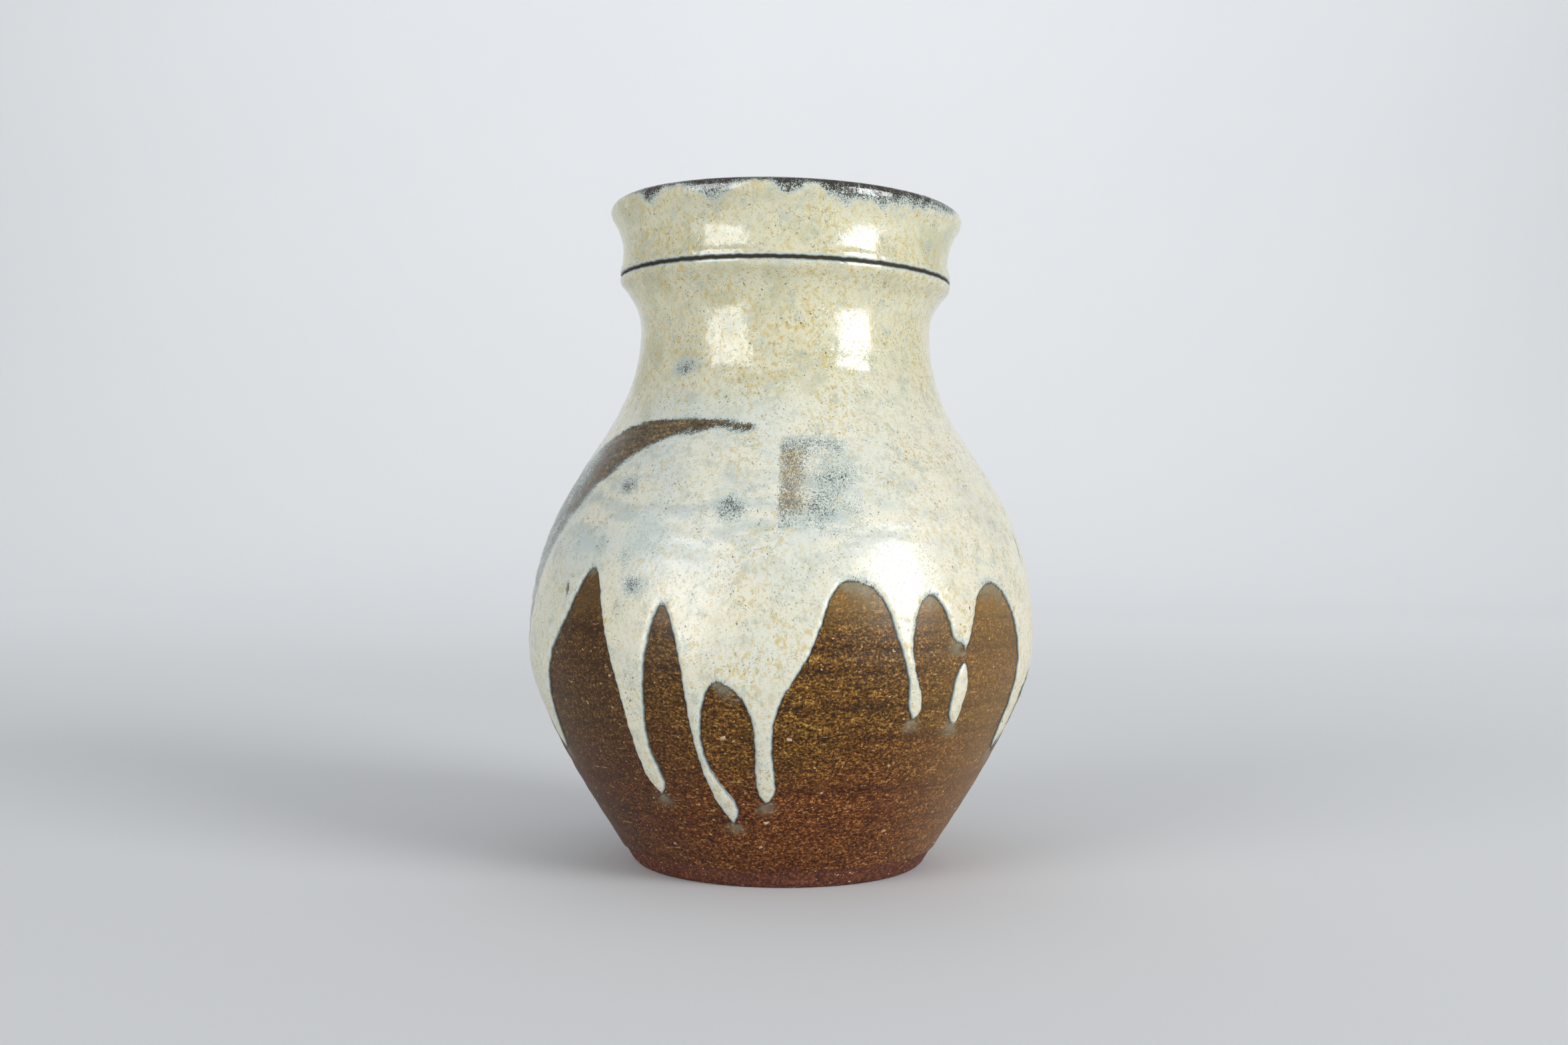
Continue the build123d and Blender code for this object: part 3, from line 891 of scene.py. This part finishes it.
def thin_cream(p, cover, height, side):
    """The thin glaze over iron: bare brown, then dark, blue-grey and pale, and ochre where rubbed."""
    under = p.ramp(cover, [(0.0, (92, 72, 46)), (0.05, (50, 46, 34)), (0.15, (84, 92, 88)),
                           (0.27, (132, 144, 141)), (0.42, (172, 186, 183)), (0.64, (200, 210, 204))])
    wiped = p.times(p.noise(1.6, 4, 0.7, (0.2, 0.2, 1.3)), 0.4)
    wiped = p.math("MULTIPLY_ADD", p.noise(0.7, 4, 0.7), 0.6, wiped)
    bare = p.ramp(wiped, [(0.40, (38, 30, 16)), (0.48, (80, 64, 38)), (0.54, (108, 88, 54)),
                          (0.62, (156, 130, 86))])
    bare = p.mix(p.share(side, -38, -58, 0.0, 0.8), bare, (152, 134, 106))
    bare = p.mix(p.share(height, 148, 155), bare, (42, 33, 28))
    under = p.mix(p.share(cover, 0.03, -0.06), under, bare)
    rubbed_across = p.times(p.share(side, -3, 0), p.share(side, 7, 3))
    rubbed_along = p.times(p.share(height, 83, 89), p.share(height, 102, 97))
    streaks = p.share(p.noise(1.2, 3, 0.6, (0.2, 0.2, 1)), 0.4, 0.6)
    streaks = p.mix(streaks, (140, 128, 112), (172, 146, 84))
    return p.mix(p.times(p.times(rubbed_across, rubbed_along), 0.6), under, streaks)


def cream_paint():
    """Cream over iron: brown where bare, dark olive and blue-white where thin, mottled where thick."""
    p = Paint("cream_glaze", IOR=1.5, Specular_IOR_Level=1.0)
    height, side = p.height(), p.sideways()
    grain = p.noise(0.30, 2, 0.75)
    cover = cream_cover(p, height, grain)
    body = thick_cream(p, height, side)
    under = thin_cream(p, cover, height, side)
    base = p.mix(p.share(cover, 0.42, 0.78), under, body)

    gloss = p.share(height, 88, 112, 0.31, 0.13)
    rough = p.math("MULTIPLY_ADD", p.math("SUBTRACT", grain, 0.5), 0.16, gloss)
    pits = p.share(p.noise(0.7, 2, 0.6), 0.42, 0.28)
    skin = p.math("SUBTRACT", p.noise(1.7, 4, 0.6), p.times(pits, 0.5))
    normal = p.bump(skin, 0.08, p.bump(p.noise(5.5, 2, 0.5), 0.18))
    return p.finish(base, rough, normal)


def iron_paint():
    """Olive-brown, gritty and streaked by turning; redder below, and dark along the cream glaze's edge; with
    a painted reflection on the window tops and painted shade on the left side.
    """
    p = Paint("iron_glaze", IOR=1.5, Specular_IOR_Level=0.28)
    shore, below, band = p.attribute("shore"), p.attribute("below"), p.attribute("band")
    height = p.height()
    grain = p.noise(0.62, 5, 0.78, (1, 1, 1.35))
    streak = p.noise(1.0, 5, 0.7, (0.3, 0.3, 1.5))
    mixed = p.plus(p.times(grain, 0.8), p.times(streak, 0.2))
    mixed = p.math("SUBTRACT", mixed, p.times(band, 0.04))
    olive = p.ramp(mixed, [(0.41, (26, 14, 2)), (0.475, (70, 42, 8)), (0.52, (106, 70, 18)),
                           (0.565, (152, 110, 42)), (0.62, (204, 162, 88))])
    red = p.ramp(mixed, [(0.41, (30, 10, 2)), (0.475, (76, 34, 8)), (0.52, (104, 56, 18)),
                         (0.565, (146, 90, 38)), (0.62, (200, 152, 90))])
    low = p.math("SUBTRACT", height, p.times(p.noise(26, 2, 0.5), 44))
    base = p.mix(p.share(low, 22, -8), olive, red)
    # Painted reflection: above 58 to 67 mm the brown is mixed halfway to a pale (146, 118, 74), standing for
    # the softboxes' reflection on the tops of the brown windows.
    base = p.mix(p.share(height, 58, 67, 0.0, 0.5), base, (146, 118, 74))
    # Painted shade and painted light: the brown darkens towards (46, 24, 5) to the left of the axis, where
    # less light falls, and turns lighter and greyer towards (150, 118, 74) on the right, under the stronger
    # right light.
    base = p.mix(p.share(p.sideways(), -8, -44, 0.0, 0.55), base, (46, 24, 5))
    base = p.mix(p.share(p.sideways(), 20, 48, 0.0, 0.35), base, (150, 118, 74))
    lines = p.share(p.noise(1.0, 3, 0.6, (0.07, 0.07, 0.55)), 0.59, 0.68)
    base = p.mix(p.times(lines, 0.28), base, (36, 22, 6))
    scratch = p.times(p.share(p.noise(0.9, 1, 0.5, (0.2, 0.2, 1.6)), 0.74, 0.78), 0.6)
    base = p.mix(scratch, base, (196, 164, 112))
    speck = p.share(p.noise(0.70, 2, 0.5, (0.8, 0.8, 1.2)), 0.68, 0.73)
    base = p.mix(p.times(speck, 0.85), base, (212, 178, 122))
    base = p.mix(p.share(height, 138, 141, 0.0, 0.85), base, (38, 30, 14))
    base = p.mix(p.share(height, 150, 156), base, (40, 29, 22))
    rim = p.math("MULTIPLY_ADD", p.math("SUBTRACT", grain, 0.5), 0.9, shore)
    base = p.mix(p.share(rim, 0.42, 0.05, 0.0, 0.75), base, (44, 36, 18))
    tail = p.times(p.share(p.math("MULTIPLY_ADD", grain, 4.0, shore), 6.5, 2.0), below)
    base = p.mix(p.times(tail, 0.6), base, (136, 140, 122))
    gloss = p.plus(p.share(height, 56, 66, 0.44, 0.26), p.share(height, 134, 138, 0.0, 0.4))
    rough = p.math("MULTIPLY_ADD", p.math("SUBTRACT", grain, 0.5), 0.4, gloss)
    grit = p.times(p.noise(0.8, 4, 0.7), p.share(height, 56, 66, 1.0, 0.35))
    normal = p.bump(grit, 0.13, p.bump(streak, 0.05))
    return p.finish(base, rough, normal)


def liner_paint():
    """Dark, glossy tenmoku that breaks to brown on the lip's crest."""
    p = Paint("liner_glaze", IOR=1.5)
    grain = p.noise(0.6, 4, 0.7)
    base = p.ramp(p.plus(p.times(grain, 0.5), p.times(p.noise(9, 2, 0.5), 0.5)),
                  [(0.36, (18, 13, 11)), (0.50, (38, 27, 20)), (0.64, (74, 52, 34))])
    crest = p.times(p.share(p.height(), 160.2, 161.2), p.share(p.noise(3, 3, 0.6), 0.35, 0.62))
    base = p.mix(p.times(crest, 0.7), base, (112, 84, 46))
    rough = p.math("MULTIPLY_ADD", grain, 0.22, 0.10)
    normal = p.bump(p.noise(1.4, 3, 0.6), 0.06)
    return p.finish(base, rough, normal)


def clay_paint():
    """Bare rust-red stoneware with dark and pale grit and fine turning lines."""
    p = Paint("bare_clay", IOR=1.45)
    grain = p.noise(0.7, 5, 0.7)
    base = p.ramp(grain, [(0.36, (46, 22, 14)), (0.50, (92, 46, 28)), (0.64, (140, 84, 54))])
    base = p.mix(p.share(p.noise(0.7, 1, 0.5), 0.69, 0.75), base, (206, 172, 128))
    base = p.mix(p.share(p.noise(0.8, 1, 0.5), 0.27, 0.22), base, (40, 20, 14))
    rough = p.math("MULTIPLY_ADD", grain, 0.3, 0.62)
    lines = p.noise(1.0, 3, 0.6, (0.15, 0.15, 2.2))
    normal = p.bump(grain, 0.18, p.bump(lines, 0.08))
    return p.finish(base, rough, normal)


def grog_paint():
    """Pale fired grit, each chip of its own shade."""
    p = Paint("grog", IOR=1.45)
    shade = p.noise(3.5, 1, 0.5)
    base = p.ramp(shade, [(0.36, (150, 112, 72)), (0.50, (196, 160, 116)), (0.66, (226, 206, 178))])
    base = p.mix(p.times(p.noise(0.3, 3, 0.7), 0.5), base, (120, 82, 50))
    rough = p.math("MULTIPLY_ADD", p.noise(0.3, 2, 0.6), 0.3, 0.4)
    return p.finish(base, rough, p.bump(p.noise(0.35, 3, 0.6), 0.06))


# ---- the vase ----

def finished(piece, material, node):
    """Gives a piece its material and body, and hides the CAD node that it stands for."""
    piece.data.materials.append(material)
    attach(piece, "root")
    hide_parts(node)


def build():
    """Makes the vase's seven pieces."""
    cream = cream_paint()
    body, body_shore = ring_glaze(
        "cream_glaze_pour", "cream_glaze_body",
        step=0.55, rough=(0.09, 0.04), lifted=(0.0, 0.32), to_lip=False,
    )
    collar, collar_shore = ring_glaze(
        "cream_glaze_collar_band", "cream_glaze_collar",
        step=0.5, rough=(0.07, 0.1), lifted=(-0.48, 0.0), to_lip=True,
    )
    part_run, run_shore = run_glaze("cream_glaze_parted_run", "cream_glaze_detached_run")
    finished(body, cream, "cream_glaze_body")
    finished(collar, cream, "cream_glaze_collar")
    finished(part_run, cream, "cream_glaze_detached_run")
    shore = Shore(body_shore + collar_shore + run_shore)
    finished(iron_coat(shore.outside), iron_paint(), "iron_glaze")
    finished(liner_coat(), liner_paint(), "liner_glaze")
    finished(clay_piece(), clay_paint(), "clay_body")
    finished(grog(shore), grog_paint(), "grog_chips")


# ---- the studio ----

def cyclorama():
    """A pale floor that curves up into a back wall."""
    width, depth, bend, tall = 16.0, 2.2, 0.9, 4.0
    line = [(-9.0, 0.0), (depth - bend, 0.0)]
    for a in np.linspace(0.1, math.pi / 2, 14):
        line.append((depth - bend + bend * math.sin(a), bend - bend * math.cos(a)))
    line.append((depth, tall))
    points = [(x, y, z) for y, z in line for x in (-width / 2, width / 2)]
    faces = [(2 * i, 2 * i + 1, 2 * i + 3, 2 * i + 2) for i in range(len(line) - 1)]
    floor = mesh_piece("floor", np.array(points), faces)
    p = Paint("floor_paper")
    shade = p.mix(p.noise(400, 2, 0.5), (226, 228, 231), (231, 233, 235))
    rough = p.math("MULTIPLY_ADD", p.noise(2, 2, 0.5), 0.1, 0.85)
    floor.data.materials.append(p.finish(shade, rough, p.bump(p.noise(1.5, 2, 0.5), 0.02)))


def area_light(name, place, turned, size, power):
    """A rectangular light that shines down its own -Z."""
    data = bpy.data.lights.new(name, "AREA")
    data.shape = "RECTANGLE"
    data.size, data.size_y = size
    data.energy = power
    lamp = bpy.data.objects.new(name, data)
    lamp.location = place
    lamp.rotation_euler = turned
    bpy.context.scene.collection.objects.link(lamp)


def softbox(name, bearing, elevation, distance, width, tall, power):
    """A rectangular soft light that faces the vase's middle."""
    aim = Vector((0, 0, 0.085))
    a, e = math.radians(bearing), math.radians(elevation)
    away = Vector((math.sin(a) * math.cos(e), -math.cos(a) * math.cos(e), math.sin(e)))
    area_light(name, aim + away * distance, away.to_track_quat("Z", "Y").to_euler(), (width, tall), power)


def studio():
    """The backdrop, the lights, the room's dim light and the camera."""
    scene = bpy.context.scene
    cyclorama()
    softbox("left_softbox", -45, 14, 1.5, 0.78, 0.95, 9.5)
    softbox("right_softbox", 54, 15, 1.5, 0.66, 0.95, 16.5)
    for side in (-1, 1):
        area_light(f"wall_wash_{side + 1}", (0.9 * side, 0.7, 1.5), (math.radians(62), 0, 0), (1.6, 0.5), 9.5)
    world = bpy.data.worlds.new("room")
    world.use_nodes = True
    back = world.node_tree.nodes["Background"]
    back.inputs["Color"].default_value = (0.96, 0.98, 1.0, 1.0)
    back.inputs["Strength"].default_value = 0.36
    scene.world = world
    scene.view_settings.view_transform = "Standard"
    data = bpy.data.cameras.new("camera")
    data.sensor_width = 36.0
    data.lens = 36.41
    camera = bpy.data.objects.new("camera", data)
    camera.rotation_mode = "QUATERNION"
    camera.location = (0.0003, -0.397, 0.0817)
    pitch = Vector((0, math.cos(math.radians(0.26)), math.sin(math.radians(0.26))))
    upright = pitch.to_track_quat("-Z", "Y")
    camera.rotation_quaternion = upright @ Quaternion((0, 0, 1), math.radians(0.65))
    scene.collection.objects.link(camera)
    scene.camera = camera


build()
studio()
